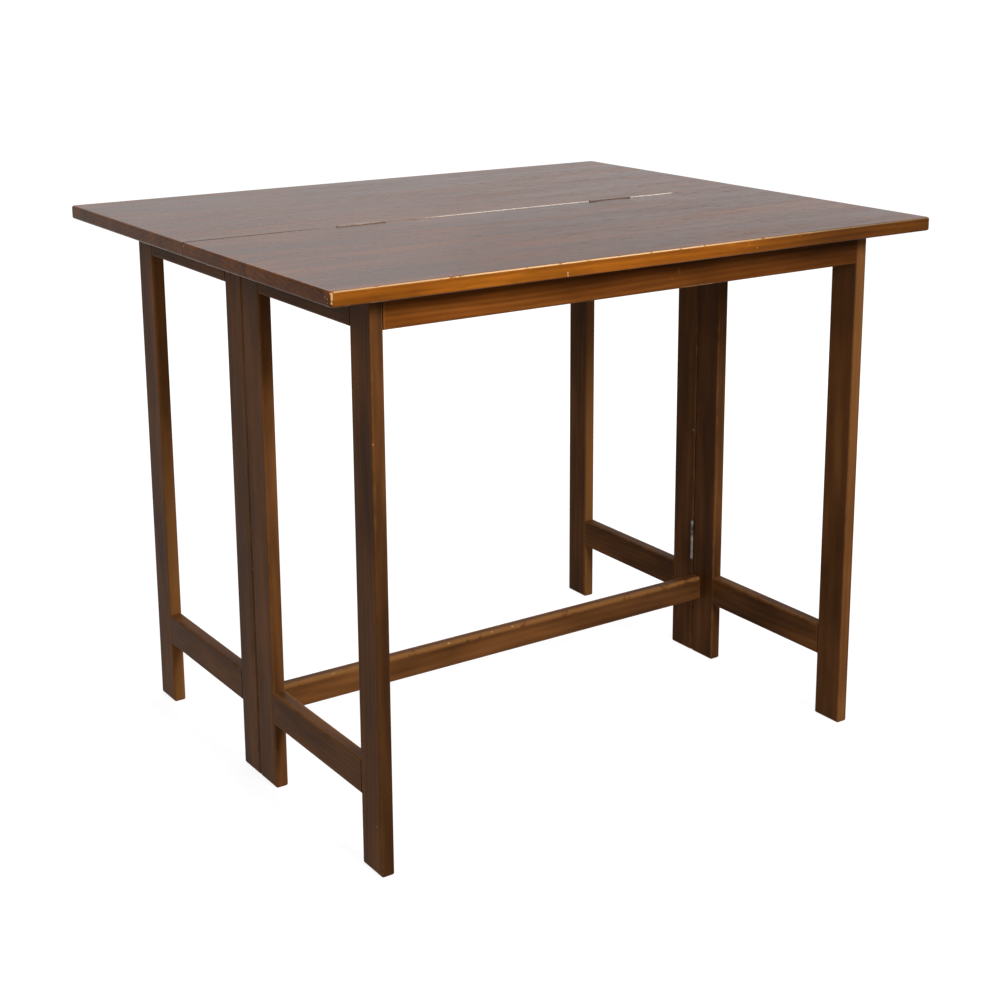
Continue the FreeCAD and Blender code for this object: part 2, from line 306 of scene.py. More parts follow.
class WoodShader:
    """The nodes of one board's finish, with its patterns sized in millimetres."""

    def __init__(self, wood: StainedWood, board: Board) -> None:
        """Start the material, and find places on the board in millimetres.

        Args:
            wood: The finish.
            board: The piece that gets it.
        """
        self.wood = wood
        self.board = board
        self.made = bpy.data.materials.new(f"{wood.name}_{board.node}")
        self.add = node_adder(self.made)
        coordinates = self.add("ShaderNodeTexCoord").outputs
        self.normal = coordinates["Normal"]
        self.place = self.add("ShaderNodeVectorMath", {
            "Vector": coordinates["Object"], "Scale": 1 / MM}, operation="SCALE")
        self.fibre, self.stave_tone = self._cut_from_tree()
        self.patterns = self._patterns()

    def build(self) -> Material:
        """Join the colour, the sheen and the relief in one shader.

        Returns:
            The finished material.
        """
        wood = self.wood
        figure = self._figure()
        pores = self.add("ShaderNodeMapRange", {
            "Value": self.patterns["pore"], "From Min": wood.pore_span[0],
            "From Max": wood.pore_span[1], "To Max": wood.pore_depth})
        masks = self._wear()
        # Stain rubbed thin, and painted light on leg faces, go under the tints
        thinned_and_lit = self._marked(self._stained(figure, pores), masks, (Wear.RUBBED,))
        tinted = self._toned_by_facing(thinned_and_lit)
        # Bare wood, painted shade and the painted glint go over the tints
        colour = self._marked(tinted, masks, (Wear.BARE, Wear.GRIMED, Wear.DUSTY))
        dull = self.add("ShaderNodeMapRange", {
            "Value": self.patterns["band"], "From Min": wood.noise_span[0],
            "From Max": wood.noise_span[1], "To Min": wood.roughness[0],
            "To Max": wood.roughness[1]})
        rises = ((pores, wood.pore_dulling), (masks[Wear.BARE], wood.bare_dulling),
                 (masks[Wear.GRIMED], wood.shade_dulling), (masks[Wear.DUSTY], wood.glint_dulling))
        for mask, rise in rises:
            dull = self.add("ShaderNodeMath", {0: mask, 1: rise, 2: dull}, operation="MULTIPLY_ADD")
        height = self.add("ShaderNodeMath", {0: figure, 1: pores}, operation="SUBTRACT")
        bump = self.add("ShaderNodeBump", {
            "Strength": wood.relief, "Distance": wood.relief_mm * MM, "Height": height})
        shader = self.add("ShaderNodeBsdfPrincipled", {
            "Base Color": colour, "Roughness": dull, "Normal": bump,
            "Specular IOR Level": wood.specular_level})
        self.add("ShaderNodeOutputMaterial", {"Surface": shader})
        return self.made

    def _cut_from_tree(self) -> tuple[Node, Node | None]:
        """Turn places so that X runs along the fibres, each board from its own part of the tree.

        Returns:
            The node with the turned place, and one with each stave's tone if the board is glued up.
        """
        wood = self.wood
        axes = self.add("ShaderNodeSeparateXYZ", {0: self.place}).outputs
        order = [(self.board.grain.value + step) % 3 for step in range(3)]
        turned = self.add("ShaderNodeCombineXYZ", {i: axes[axis] for i, axis in enumerate(order)})
        cut = [self.board.seed * step for step in BOARD_STEP_MM]
        cut[2] += HEART_GAP_MM
        moved = self.add("ShaderNodeVectorMath", {0: turned, 1: cut}, operation="ADD")
        tone = None
        if wood.stave_mm:
            share = self.add("ShaderNodeMath", {
                0: axes[order[1]], 1: 1 / wood.stave_mm, 2: self.board.seed * STAVE_SHIFT},
                operation="MULTIPLY_ADD")
            index = self.add("ShaderNodeMath", {0: share}, operation="FLOOR")
            draw = self.add("ShaderNodeTexWhiteNoise", {"W": index}, noise_dimensions="1D")
            tone = self.add("ShaderNodeMapRange", {
                "Value": draw, "To Min": 1 - wood.stave_spread, "To Max": 1 + wood.stave_spread})
            moved = self.add("ShaderNodeVectorMath", {
                0: draw.outputs["Color"], 1: STAVE_STEP_MM, 2: moved}, operation="MULTIPLY_ADD")
        slow = self.add("ShaderNodeVectorMath", {
            0: moved, 1: [1 / size for size in wood.swirl_mm]}, operation="MULTIPLY")
        swirl = self.add("ShaderNodeTexNoise", {"Vector": slow, "Scale": 1.0, "Detail": 1.0})
        reach = (0.0, wood.swirl_reach_mm, wood.swirl_reach_mm)
        bent = self.add("ShaderNodeVectorMath", {
            0: swirl.outputs["Color"], 1: reach, 2: moved}, operation="MULTIPLY_ADD")
        return bent, tone

    def _patterns(self) -> dict[str, Node]:
        """Lay the uneven patterns of wood, stain and wear over the board.

        Returns:
            The noise node of each pattern.
        """
        wood = self.wood
        layers = {
            "band": (self.fibre, wood.band_length_mm, wood.band_mm, 2.0),
            "streak": (self.fibre, wood.streak_length_mm, wood.streak_mm, 3.0),
            "pore": (self.fibre, wood.pore_length_mm, wood.pore_mm, 1.0),
            "blotch": (self.fibre, wood.blotch_stretch * wood.blotch_mm, wood.blotch_mm, 2.0),
            "wander": (self.place, wood.wander_mm, wood.wander_mm, 2.0),
            "strike": (self.place, wood.strike_mm, wood.strike_mm, 3.0)}
        made = {}
        for name, (space, length_mm, width_mm, detail) in layers.items():
            scaled = self.add("ShaderNodeVectorMath", {
                0: space, 1: (1 / length_mm, 1 / width_mm, 1 / width_mm)}, operation="MULTIPLY")
            made[name] = self.add("ShaderNodeTexNoise", {
                "Vector": scaled, "Scale": 1.0, "Detail": detail})
        return made

    def _figure(self) -> Node:
        """Mix broad bands, finer streaks and growth rings.

        Returns:
            The node with the figure, from 0 in dark wood to 1 in light wood.
        """
        wood = self.wood
        ring_mm = wood.growth_ring_mm
        across = self.add("ShaderNodeVectorMath", {
            0: self.fibre, 1: (1 / (wood.ring_stretch * ring_mm), 1 / ring_mm, 1 / ring_mm)},
            operation="MULTIPLY")
        rings = self.add("ShaderNodeTexWave", {
            "Vector": across, "Scale": WAVE_SCALE, "Distortion": wood.ring_distortion},
            wave_type="RINGS", rings_direction="X", wave_profile="SIN")
        layers = (self.patterns["band"], self.patterns["streak"], rings.outputs["Fac"])
        total = 0.0
        for layer, share in zip(layers, wood.figure_shares):
            total = self.add("ShaderNodeMath", {0: layer, 1: share, 2: total},
                             operation="MULTIPLY_ADD")
        return self.add("ShaderNodeMapRange", {
            "Value": total, "From Min": wood.figure_span[0], "From Max": wood.figure_span[1]})

    def _stained(self, figure: Node, pores: Node) -> Node:
        """Colour the wood, with blotches and staves that took the stain unevenly.

        Args:
            figure: The figure of the wood.
            pores: The pores that stain has filled.

        Returns:
            The node with the colour.
        """
        wood = self.wood
        ramp = self.add("ShaderNodeValToRGB", {"Fac": figure})
        stops = ramp.color_ramp.elements
        stops[0].color = linear(wood.dark)
        stops[1].color = linear(wood.light)
        stops.new(0.5).color = linear(wood.mid)
        colour = self.add("ShaderNodeMix", {"Factor": pores, "A": ramp, "B": BLACK},
                          data_type="RGBA")
        uneven = self.add("ShaderNodeMapRange", {
            "Value": self.patterns["blotch"], "From Min": wood.noise_span[0],
            "From Max": wood.noise_span[1], "To Min": self.board.tone * (1 - wood.blotch_spread),
            "To Max": self.board.tone * (1 + wood.blotch_spread)})
        for tone in filter(None, (uneven, self.stave_tone)):
            colour = self.add("ShaderNodeMix", {"Factor": 1.0, "A": colour, "B": tone},
                              data_type="RGBA", blend_type="MULTIPLY")
        return colour

    def _toned_by_facing(self, colour: Node) -> Node:
        """Tint end grain, which drinks more stain, and level faces, which carry a heavier coat.

        Args:
            colour: The stained colour.

        Returns:
            The node with the tinted colour.
        """
        wood = self.wood
        axes = self.add("ShaderNodeSeparateXYZ", {0: self.normal}).outputs
        tints = ((self.board.grain, wood.end_grain_tint), (Grain.ALONG_Z, wood.face_tint))
        for axis, tint in tints:
            facing = self.add("ShaderNodeMath", {0: axes[axis.value]}, operation="ABSOLUTE")
            share = self.add("ShaderNodeMapRange", {
                "Value": facing, "From Min": wood.facing_span[0], "From Max": wood.facing_span[1]})
            colour = self.add("ShaderNodeMix", {"Factor": share, "A": colour, "B": linear(tint)},
                              data_type="RGBA", blend_type="MULTIPLY")
        return colour

    def _marked(self, colour: Node, masks: dict[Wear, Factor], kinds: tuple[Wear, ...]) -> Node:
        """Lay some kinds of wear, painted light and painted shade over a colour.

        Args:
            colour: The colour before wear.
            masks: The mask of each kind.
            kinds: The kinds to lay, the lowest first.

        Returns:
            The node with the worn colour.
        """
        for wear in kinds:
            worn = linear(getattr(self.wood, wear.value))
            colour = self.add("ShaderNodeMix", {"Factor": masks[wear], "A": colour, "B": worn},
                              data_type="RGBA")
        return colour

    def _edge_distance(self) -> Node:
        """Measure how far a place lies from the nearest edge of the board's box, over its surface.

        Returns:
            The node with the distance in millimetres.
        """
        low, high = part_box(self.board.node)
        centre, half = (low + high) / 2 / MM, (high - low) / 2 / MM
        offset = self.add("ShaderNodeVectorMath", {0: self.place, 1: centre}, operation="SUBTRACT")
        size = self.add("ShaderNodeVectorMath", {0: offset}, operation="ABSOLUTE")
        inset = self.add("ShaderNodeVectorMath", {0: half, 1: size}, operation="SUBTRACT")
        a, b, c = self.add("ShaderNodeSeparateXYZ", {0: inset}).outputs
        least = self.add("ShaderNodeMath", {0: a, 1: b}, operation="MINIMUM")
        most = self.add("ShaderNodeMath", {0: a, 1: b}, operation="MAXIMUM")
        other = self.add("ShaderNodeMath", {0: most, 1: c}, operation="MINIMUM")
        return self.add("ShaderNodeMath", {0: least, 1: other}, operation="MAXIMUM")

    def _wear(self) -> dict[Wear, Factor]:
        """Find where handling has rubbed the stain thin or taken it off, and where light and shade
        are painted.

        Returns:
            A mask from 0 to 1 for each kind of wear.
        """
        wood = self.wood
        distance = self._edge_distance()
        ragged = self.add("ShaderNodeMath", {
            0: self.patterns["wander"], 1: wood.rub_wander_mm, 2: distance},
            operation="MULTIPLY_ADD")
        rubbed = self.add("ShaderNodeMapRange", {
            "Value": ragged, "From Min": wood.rub_span_mm[0], "From Max": wood.rub_span_mm[1],
            "To Min": wood.edge_rub, "To Max": 0.0})
        close = self.add("ShaderNodeMapRange", {
            "Value": distance, "From Min": wood.strike_span_mm[0],
            "From Max": wood.strike_span_mm[1], "To Min": 1.0, "To Max": 0.0})
        struck = self.add("ShaderNodeMapRange", {
            "Value": self.patterns["strike"], "From Min": wood.strike_span[0],
            "From Max": wood.strike_span[1]})
        bare = self.add("ShaderNodeMath", {0: close, 1: struck}, operation="MULTIPLY")
        masks = {Wear.RUBBED: rubbed, Wear.BARE: bare, Wear.GRIMED: 0.0, Wear.DUSTY: 0.0}
        marks = [(arris.wear, self._worn_strip(arris)) for arris in self.board.worn]
        marks += [(Wear.BARE, self._chip(nick)) for nick in self.board.nicks]
        for wear, mark in marks:
            masks[wear] = self.add("ShaderNodeMath", {0: masks[wear], 1: mark}, operation="MAXIMUM")
        return masks

    def _chip(self, nick: Nick) -> Node:
        """Break a small ragged chip out of the finish.

        Args:
            nick: The chip's place and size.

        Returns:
            The node with the chip's mask.
        """
        radius = nick.radius_mm
        gap = self.add("ShaderNodeVectorMath", {0: self.place, 1: nick.place_mm},
                       operation="DISTANCE")
        rough = self.add("ShaderNodeMath", {0: self.patterns["strike"], 1: radius, 2: gap},
                         operation="MULTIPLY_ADD")
        return self.add("ShaderNodeMapRange", {
            "Value": rough, "From Min": radius, "From Max": self.wood.nick_edge * radius,
            "To Min": 1.0, "To Max": 0.0})

    def _worn_strip(self, arris: WornArris) -> Node:
        """Lay a ragged strip of wear, of painted light or of painted shade along one edge of the
        board's box.

        Args:
            arris: The worn edge.

        Returns:
            The node with the strip's mask.
        """
        low, high = (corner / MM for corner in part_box(self.board.node))
        edge = [high[i] if side > 0 else low[i] * abs(side) for i, side in enumerate(arris.sides)]
        flat = self.add("ShaderNodeVectorMath", {
            0: self.place, 1: [abs(side) for side in arris.sides]}, operation="MULTIPLY")
        gap = self.add("ShaderNodeVectorMath", {0: flat, 1: edge}, operation="DISTANCE")
        lost = NO_COVER - COVER_STEP * arris.cover
        reach = self.add("ShaderNodeMapRange", {
            "Value": self.patterns["wander"], "From Min": lost, "From Max": lost + COVER_RAMP,
            "To Max": arris.width_mm})
        beyond = self.add("ShaderNodeMath", {0: gap, 1: reach}, operation="SUBTRACT")
        strip = self.add("ShaderNodeMapRange", {
            "Value": beyond, "From Min": -arris.soft_mm, "From Max": 0.0,
            "To Min": arris.strength, "To Max": 0.0})
        along = self.add("ShaderNodeSeparateXYZ", {0: self.place}).outputs[arris.sides.index(0)]
        start, end = arris.span_mm
        middle = self.add("ShaderNodeMath", {0: along, 1: (start + end) / 2}, operation="SUBTRACT")
        far = self.add("ShaderNodeMath", {0: middle}, operation="ABSOLUTE")
        half = (end - start) / 2
        inside = self.add("ShaderNodeMapRange", {
            "Value": far, "From Min": half - arris.fade_mm, "From Max": half,
            "To Min": 1.0, "To Max": 0.0})
        return self.add("ShaderNodeMath", {0: strip, 1: inside}, operation="MULTIPLY")


@dataclass(frozen=True)
class PlatedMetal:
    """Pressed hinge or screw metal, dulled by handling."""

    name: str
    bright: str
    dull: str
    roughness: Span
    tarnish_mm: float = 6.0
    tarnish_span: Span = (0.35, 0.65)
    brush_mm: float = 0.8
    relief: float = 0.1
    relief_mm: float = 0.1

    def material(self) -> Material:
        """Make the finish.

        Returns:
            The new material.
        """
        made = bpy.data.materials.new(self.name)
        add = node_adder(made)
        place = add("ShaderNodeTexCoord").outputs["Object"]
        tarnish = add("ShaderNodeTexNoise", {
            "Vector": place, "Scale": 1 / (self.tarnish_mm * MM), "Detail": 4.0})
        spread = add("ShaderNodeMapRange", {
            "Value": tarnish, "From Min": self.tarnish_span[0], "From Max": self.tarnish_span[1]})
        ramp = add("ShaderNodeValToRGB", {"Fac": spread})
        ramp.color_ramp.elements[0].color = linear(self.dull)
        ramp.color_ramp.elements[1].color = linear(self.bright)
        worn = add("ShaderNodeMapRange", {
            "Value": spread, "To Min": self.roughness[1], "To Max": self.roughness[0]})
        brushed = add("ShaderNodeTexNoise", {"Vector": place, "Scale": 1 / (self.brush_mm * MM)})
        bump = add("ShaderNodeBump", {
            "Strength": self.relief, "Distance": self.relief_mm * MM, "Height": brushed})
        shader = add("ShaderNodeBsdfPrincipled", {
            "Base Color": ramp, "Roughness": worn, "Normal": bump, "Metallic": 1.0})
        add("ShaderNodeOutputMaterial", {"Surface": shader})
        return made


# Close-grained hardwood under a walnut stain and a thin satin lacquer: warm brown where light
# strikes it square on, with a little grey glint of the room at a slant
FRAME_WOOD = StainedWood(
    "walnut_stained_hardwood", "#50311A", "#5B381C", "#684121", "#84582F", "#C2A078",
    band_mm=22.0, band_length_mm=320.0, blotch_mm=46.0, blotch_spread=0.42,
    figure_shares=(0.76, 0.12, 0.12), pore_depth=0.16)

# The same stain over a redder board, for the apron
APRON_WOOD = replace(FRAME_WOOD, name="walnut_stained_red_board",
                     dark="#542B0C", mid="#663710", light="#784519")

# The same wood glued up in staves and polished more: the broad faces took a heavier coat than the
# edges, and at a low angle they mirror the room
TOP_WOOD = StainedWood(
    "walnut_stained_staves", "#5E3108", "#78420D", "#925413", "#A0682C", "#CDAA7E",
    face_tint="#AF9B96", end_grain_tint="#CCC4BC", stave_mm=98.0, stave_spread=0.14,
    band_mm=32.0, band_length_mm=340.0, streak_mm=6.0, streak_length_mm=260.0, pore_mm=2.2,
    blotch_spread=0.26, figure_shares=(0.45, 0.45, 0.1), pore_depth=0.22, edge_rub=0.2,
    relief=0.02, roughness=(0.18, 0.25), specular_level=0.038)

# The same stain with no lacquer, for the cleats: matt all over
CLEAT_WOOD = StainedWood(
    "walnut_stained_cleat", "#46291A", "#6B4124", "#8A5A30", "#8A5A30", "#C2A078",
    roughness=(0.6, 0.72), specular_level=0.3)

# Plain turned beech: pale, even and flecked
DOWEL_WOOD = StainedWood(
    "turned_beech", "#B98F60", "#CDA878", "#DDBD90", "#DDBD90", "#E4CBA4",
    roughness=(0.6, 0.7), specular_level=0.4)

# Nickel-plated steel gone dull: a soft grey line that dark patches break up
GATE_HINGE_METAL = PlatedMetal("dulled_nickel_plate", "#82786E", "#352E28", (0.34, 0.52),
                               tarnish_mm=9.0)

# Bronzed brass, brown in its hollows
LEAF_HINGE_METAL = PlatedMetal("bronzed_brass", "#82756A", "#665A4F", (0.42, 0.6))

# The same brass where the bronzing is polished thin, a lighter greyed brown
RUBBED_HINGE_METAL = PlatedMetal("rubbed_bronzed_brass", "#897D75", "#776B64", (0.4, 0.55))

# Zinc-plated steel: cool and fairly bright
SCREW_STEEL = PlatedMetal("zinc_plated_steel", "#B7B5B0", "#8E8B85", (0.28, 0.42))


def joined_shell(node: str) -> bmesh.types.BMesh:
    """Copy a CAD node's mesh for editing, with its loose triangles joined.

    Args:
        node: The CAD node.

    Returns:
        The copy, which the caller frees.
    """
    shell = bmesh.new()
    shell.from_mesh(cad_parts[node].data)
    bmesh.ops.remove_doubles(shell, verts=shell.verts, dist=JOIN_DISTANCE)
    return shell


def give(piece: Object, finish: Material) -> None:
    """Put one finish all over a piece and log which finish it has.

    Args:
        piece: The piece.
        finish: The material.
    """
    piece.data.materials.clear()
    piece.data.materials.append(finish)
    log.info("%s: %s", piece.name, finish.name)


def dress(board: Board, wood: StainedWood) -> None:
    """Put a wooden finish on a CAD board."""
    give(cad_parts[board.node], wood.material(board))


@dataclass
class TableTop:
    """The two leaves: the front one is fixed, and its seam edge has sunk a little.

    Each sunk stretch has its start, end and depth.
    """

    sunk_mm: tuple[tuple[float, float, float], ...] = (
        (-540.0, -310.0, 0.12), (-145.0, 195.0, 0.7), (225.0, 350.0, 0.8))
    sink_reach_mm: float = 70.0
    ramp_mm: float = 24.0
    grid_mm: float = 12.0
    cut_shares: tuple[float, ...] = (0.08, 0.2, 0.4, 0.65, 1.0)
    cut_near_mm: float = 0.01

    def build(self) -> None:
        """Dress the rear leaf and replace the front one with its sunk copy."""
        sunk = self._sunk_front()
        give(sunk, TOP_WOOD.material(self._front()))
        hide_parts("front_leaf")
        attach(sunk, "frame")
        dress(self._rear(), TOP_WOOD)

    def _front(self) -> Board:
        """Describe the front leaf, worn pale along its front, chipped at its left corner and given
        painted shade towards the right of its front edge.

        Returns:
            The board with its wear.
        """
        worn = (
            WornArris((0, -1, 1), 1.95, 1.0, (-900.0, 800.0), fade_mm=700.0),
            # Painted shade on the front edge, growing towards the right, where the key lamp's light
            # falls off
            WornArris((0, -1, -1), 20.0, 1.0, (40.0, 1200.0), fade_mm=250.0, soft_mm=2.0,
                      strength=0.63, wear=Wear.GRIMED),
            WornArris((-1, -1, 0), 3.0, 0.8, soft_mm=0.3),
            WornArris((0, -1, -1), 1.75, 0.7, (-600.0, -370.0), fade_mm=90.0, strength=0.5),
            WornArris((-1, 0, 1), 1.6, 0.3, strength=0.4))
        chips = (
            ((-475.0, -386.0, 754.0), 1.1), ((-475.0, -391.0, 752.5), 1.0),
            ((-475.0, -391.6, 748.0), 0.8), ((-474.5, -397.0, 759.5), 1.3),
            ((-475.0, -2.0, 757.5), 1.3), ((-153.0, -400.0, 749.5), 1.0),
            ((-153.0, -400.0, 747.5), 0.9), ((-152.7, -400.0, 745.5), 1.0),
            ((151.0, -400.0, 750.0), 0.9))
        nicks = tuple(Nick(place, radius) for place, radius in chips)
        return Board("front_leaf", Grain.ALONG_X, 3, worn, nicks)

    def _rear(self) -> Board:
        """Describe the rear leaf, with painted shade, a painted glint and fading along the seam.

        Returns:
            The board with its wear.
        """
        seam = partial(WornArris, (0, -1, 1))
        return Board("rear_leaf", Grain.ALONG_X, 11, (
            # A painted glint along the seam's arris, where the rear leaf stands above the sunk
            # front leaf
            seam(1.8, 1.0, (-135.0, 240.0), fade_mm=60.0, strength=0.85, wear=Wear.DUSTY),
            seam(1.8, 1.0, (234.0, 342.0), wear=Wear.DUSTY),
            # Painted shadow of the seam's gap along its left part
            seam(2.5, 1.0, (-600.0, -270.0), fade_mm=30.0, soft_mm=1.0, wear=Wear.GRIMED),
            seam(75.0, UNBROKEN, (-700.0, 330.0), fade_mm=250.0, soft_mm=65.0, strength=0.35,
                 wear=Wear.RUBBED),
            WornArris((-1, 0, 1), 1.6, 0.3, strength=0.4)))

    def _sunk_front(self) -> Object:
        """Copy the front leaf and lower its upper face along the seam, where the board has cupped.

        Returns:
            The cupped leaf.
        """
        low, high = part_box("front_leaf")
        shell = joined_shell("front_leaf")
        for point, normal in self._cuts(high):
            bmesh.ops.bisect_plane(shell, geom=shell.verts[:] + shell.edges[:] + shell.faces[:],
                                   plane_co=point, plane_no=normal, dist=self.cut_near_mm * MM)
        upper = (low.z + high.z) / 2
        for vertex in shell.verts:
            if vertex.co.z > upper:
                rise = (vertex.co.z - upper) / (high.z - upper)
                sink_mm = self._sink(vertex.co.x / MM, (high.y - vertex.co.y) / MM)
                vertex.co.z -= sink_mm * MM * rise
        mesh = bpy.data.meshes.new("front_leaf_cupped")
        shell.to_mesh(mesh)
        shell.free()
        return new_object("front_leaf_cupped", mesh)

    def _cuts(self, high: Vector) -> Iterator[tuple[Vector, Vector]]:
        """List the planes that divide the leaf finely enough to bend, across the seam and along it.

        Args:
            high: The high corner of the leaf's box.

        Returns:
            A point and a normal for each plane.
        """
        start, end = self.sunk_mm[0][0], self.sunk_mm[-1][1]
        for index in range(int((end - start) / self.grid_mm) + 1):
            yield Vector(((start + index * self.grid_mm) * MM, 0, 0)), Vector((1, 0, 0))
        for share in self.cut_shares:
            yield Vector((0, high.y - share * self.sink_reach_mm * MM, 0)), Vector((0, 1, 0))

    def _sink(self, x_mm: float, from_seam_mm: float) -> float:
        """Find how far the upper face lies below its level.

        Args:
            x_mm: The place along the seam.
            from_seam_mm: The distance from the seam.

        Returns:
            The depth in millimetres.
        """
        inward = max(0.0, 1 - from_seam_mm / self.sink_reach_mm)
        depth = 0.0
        for start, end, sink_mm in self.sunk_mm:
            inside = min(1.0, max(0.0, min(x_mm - start, end - x_mm) / self.ramp_mm))
            depth += sink_mm * inside * inside * (3 - 2 * inside)
        return depth * inward * inward


@dataclass
class FixedFrame:
    """The four fixed legs with their rails, aprons, stretcher, cleats and dowels.

    Values for two legs have the left one first.
    """

    leg_arrises: tuple[WornArris, ...] = (
        WornArris((1, -1, 0), 2.2, 0.12), WornArris((-1, -1, 0), 2.2, 0.16))
    # The left front leg gets painted shade on the lower part of its front face, darker towards the
    # foot; the right one gets painted light on the upper part of its front face
    front_leg_marks: tuple[tuple[WornArris, ...], ...] = (
        (WornArris((-1, -1, 0), 2.4, 0.5, (-40.0, 60.0), fade_mm=15.0, strength=0.6),
         painted_leg_front((-600.0, 540.0), fade_mm=200.0, strength=0.55, wear=Wear.GRIMED)),
        (painted_leg_front((200.0, 1200.0), fade_mm=300.0, strength=0.4, wear=Wear.RUBBED),))
    front_leg_nicks: tuple[tuple[Nick, ...], ...] = (
        (Nick((-399.2, -351.2, 563.0), 1.2), Nick((-400.0, -340.0, 66.0), 1.0)), ())
    front_leg_tones: tuple[float, float] = (0.88, 1.15)
    middle_leg_tones: tuple[float, float] = (1.15, 0.95)
    rail_arrises: tuple[WornArris, ...] = tuple(
        WornArris((x_side, 0, 1), 5.0, 0.8, soft_mm=3.0, strength=0.5, wear=Wear.RUBBED)
        for x_side in (1, -1))
    stretcher_arrises: tuple[WornArris, ...] = (
        WornArris((0, -1, 1), 2.2, 0.35, (-330.0, 200.0), fade_mm=60.0, strength=0.6),
        WornArris((0, -1, 1), 7.0, 0.9, soft_mm=4.0, strength=0.9, wear=Wear.RUBBED))
    apron_arrises: tuple[WornArris, ...] = (
        WornArris((0, -1, -1), 2.0, 0.8, (62.0, 125.0), strength=0.6),
        # Painted shade over the apron's front face from its left end rightwards, where the top's
        # overhang shades it more
        WornArris((0, -1, -1), 50.0, 1.0, (-340.0, 1200.0), fade_mm=420.0, soft_mm=4.0,
                  strength=0.4, wear=Wear.GRIMED))

    def _lacquered(self) -> Iterator[Board]:
        """List the boards in the plain stain.

        Returns:
            Each board with its worn edges.
        """
        for index, side in enumerate(Side):
            yield Board(f"front_leg_{side.value}", Grain.ALONG_Z, 21 + index,
                        self.leg_arrises + self.front_leg_marks[index],
                        self.front_leg_nicks[index], self.front_leg_tones[index])
            yield Board(f"middle_leg_{side.value}", Grain.ALONG_Z, 25 + index, self.leg_arrises,
                        tone=self.middle_leg_tones[index])
            yield Board(f"side_top_rail_{side.value}", Grain.ALONG_Y, 31 + index)
            yield Board(f"side_lower_rail_{side.value}", Grain.ALONG_Y, 35 + index,
                        self.rail_arrises)
        yield Board("rear_apron", Grain.ALONG_X, 43)
        yield Board("lower_stretcher", Grain.ALONG_X, 47, self.stretcher_arrises)

    def build(self) -> None:
        """Dress every piece of the frame."""
        for board in self._lacquered():
            dress(board, FRAME_WOOD)
        dress(Board("front_apron", Grain.ALONG_X, 41, self.apron_arrises), APRON_WOOD)
        for index, side in enumerate(Side):
            cleat = Board(f"top_cleat_{side.value}", Grain.ALONG_Y, 51 + index)
            dress(cleat, CLEAT_WOOD)
        dress(Board("frame_dowels", Grain.ALONG_Y, 55), DOWEL_WOOD)


@dataclass
class Gate:
    """One swinging gate: two legs, two rails and the dowels that join them, and painted light on
    the front of its rear leg.
    """

    side: Side
    seed: int
    rear_leg_light: WornArris
    rear_leg_tone: float = 1.1
    rear_leg_arrises: tuple[WornArris, ...] = (
        WornArris((1, -1, 0), 2.2, 0.12), WornArris((-1, -1, 0), 2.2, 0.12))
    hinge_leg_nicks: tuple[Nick, ...] = ()

    def build(self) -> None:
        """Dress the gate's pieces."""
        side, seed = self.side.value, self.seed
        boards = (
            Board(f"gate_hinge_leg_{side}", Grain.ALONG_Z, seed, (), self.hinge_leg_nicks),
            Board(f"gate_rear_leg_{side}", Grain.ALONG_Z, seed + 1,
                  (*self.rear_leg_arrises, self.rear_leg_light), tone=self.rear_leg_tone),
            Board(f"gate_top_rail_{side}", Grain.ALONG_Y, seed + 2),
            Board(f"gate_lower_rail_{side}", Grain.ALONG_Y, seed + 3))
        for board in boards:
            dress(board, FRAME_WOOD)
        dowels = Board(f"gate_dowels_{side}", Grain.ALONG_Y, seed + 4)
        dress(dowels, DOWEL_WOOD)


# Painted light on the front faces of the rear legs: the lower part on the left gate, the whole
# length on the right
LEFT_GATE = Gate(Side.LEFT, 61, painted_leg_front((-600.0, 520.0), fade_mm=220.0, strength=0.5,
                                          wear=Wear.RUBBED))
RIGHT_GATE = Gate(Side.RIGHT, 71, painted_leg_front(strength=0.7, wear=Wear.RUBBED),
                  hinge_leg_nicks=(Nick((382.0, -4.0, 375.5), 1.6),))


@dataclass
class Hinges:
    """The butt hinges of the gates and of the top: plates, knuckles, pins and screws."""

    # The left leaf hinge's fixed plate takes the darker brass, as painted shade in the notches
    # round its knuckles
    shaded_plate: str = "leaf_hinge_left_fixed_plate"

    def build(self) -> None:
        """Dress the pieces of all six hinges and set their screws."""
        metals = (GATE_HINGE_METAL, LEAF_HINGE_METAL, RUBBED_HINGE_METAL)
        nickel, bronze, rubbed = (metal.material() for metal in metals)
        for name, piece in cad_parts.items():
            if name.startswith("gate_hinge") and name.endswith(("_plate", "_pin")):
                give(piece, nickel)
            elif name.startswith("leaf_hinge"):
                give(piece, bronze if name == self.shaded_plate else rubbed)
        groups = (("frame_hinge_screws", "frame", nickel, "gate_hinge_metal"),
                  ("gate_hinge_screws_left", "gate_left", nickel, "gate_hinge_metal"),
                  ("gate_hinge_screws_right", "gate_right", nickel, "gate_hinge_metal"),
                  ("front_leaf_hinge_screws", "frame", bronze, "leaf_hinge_metal"),
                  ("rear_leaf_hinge_screws", "flip_leaf", bronze, "leaf_hinge_metal"))
        for index, (node, body, metal, slot) in enumerate(groups):
            ScrewGroup(node, body, slot, index).build(metal)


